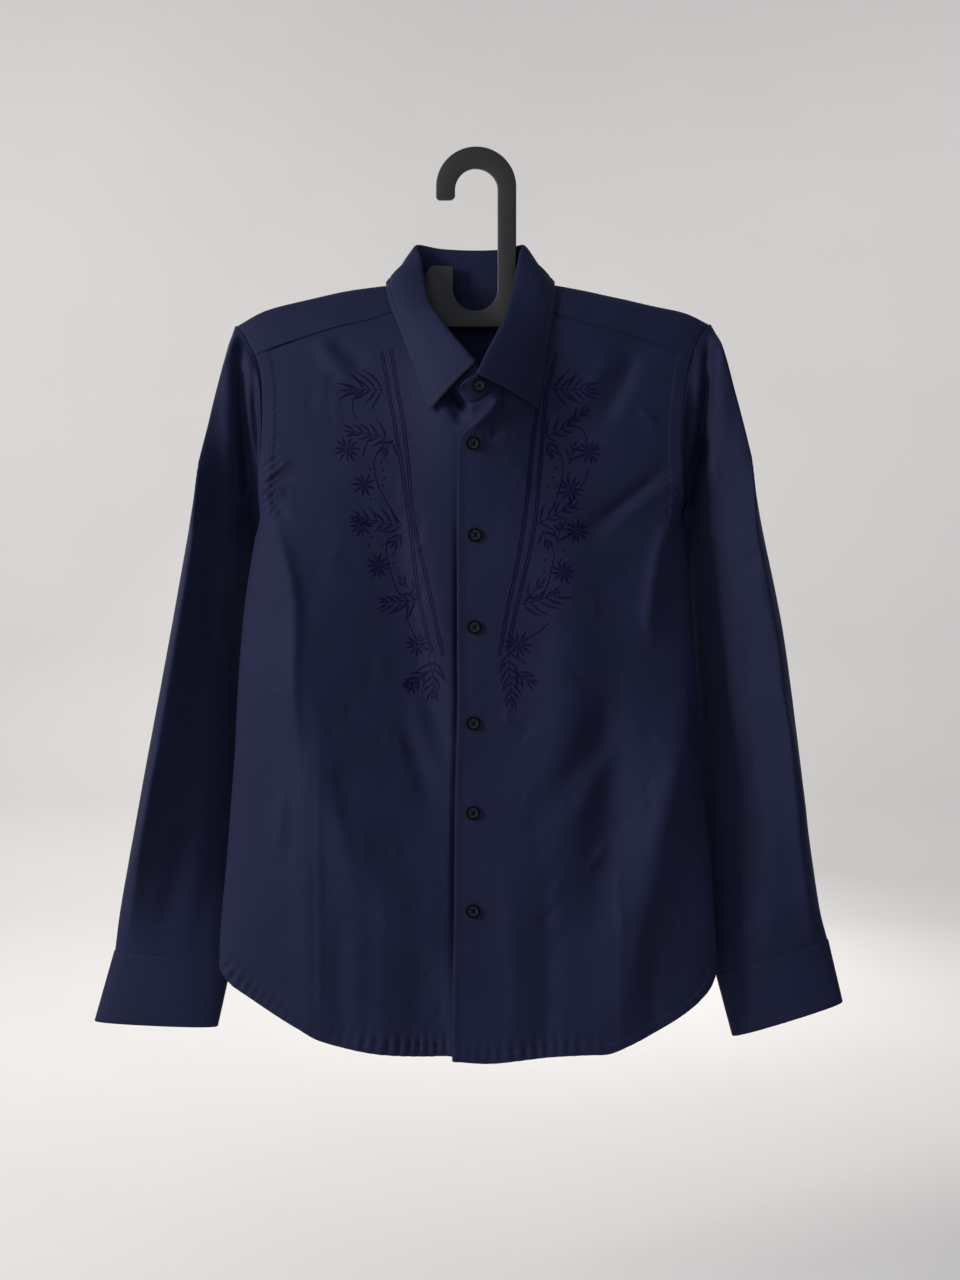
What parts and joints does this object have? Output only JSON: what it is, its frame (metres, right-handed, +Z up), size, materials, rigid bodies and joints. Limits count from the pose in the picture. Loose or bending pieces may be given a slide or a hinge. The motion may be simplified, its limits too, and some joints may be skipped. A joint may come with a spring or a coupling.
{
  "type": "embroidered shirt on a hanger",
  "caption": "Navy long-sleeved shirt with a pointed collar and tone-on-tone leaf embroidery down both fronts, buttoned up on a flat black hanger",
  "frame": {"origin": "the top of the inside of the hanger's hook, where a rail or peg bears", "axes": "X across the shirt with the wearer's left sleeve on +X, Y out of the back of the shirt, Z up along the hook"},
  "size_m": [0.6956, 0.1015, 0.8413],
  "materials": {
    "navy_cloth": "matte plain-woven cotton",
    "button_plastic": "polished",
    "hanger_plastic": "fine matte"
  },
  "bodies": {
    "root": {"hanger": "hanger_plastic", "yoke": "navy_cloth", "back": "navy_cloth", "front_left": "navy_cloth", "front_right": "navy_cloth", "collar_stand": "navy_cloth", "collar_leaf": "navy_cloth", "sleeve_left": "navy_cloth", "sleeve_right": "navy_cloth", "sleeve_placket_left": "navy_cloth", "sleeve_placket_right": "navy_cloth", "cuff_left": "navy_cloth", "cuff_right": "navy_cloth", "button_1": "button_plastic", "button_2": "button_plastic", "button_3": "button_plastic", "button_4": "button_plastic", "button_5": "button_plastic", "button_6": "button_plastic", "button_7": "button_plastic", "cuff_button_left": "button_plastic", "cuff_button_right": "button_plastic"}
  },
  "joints": []
}
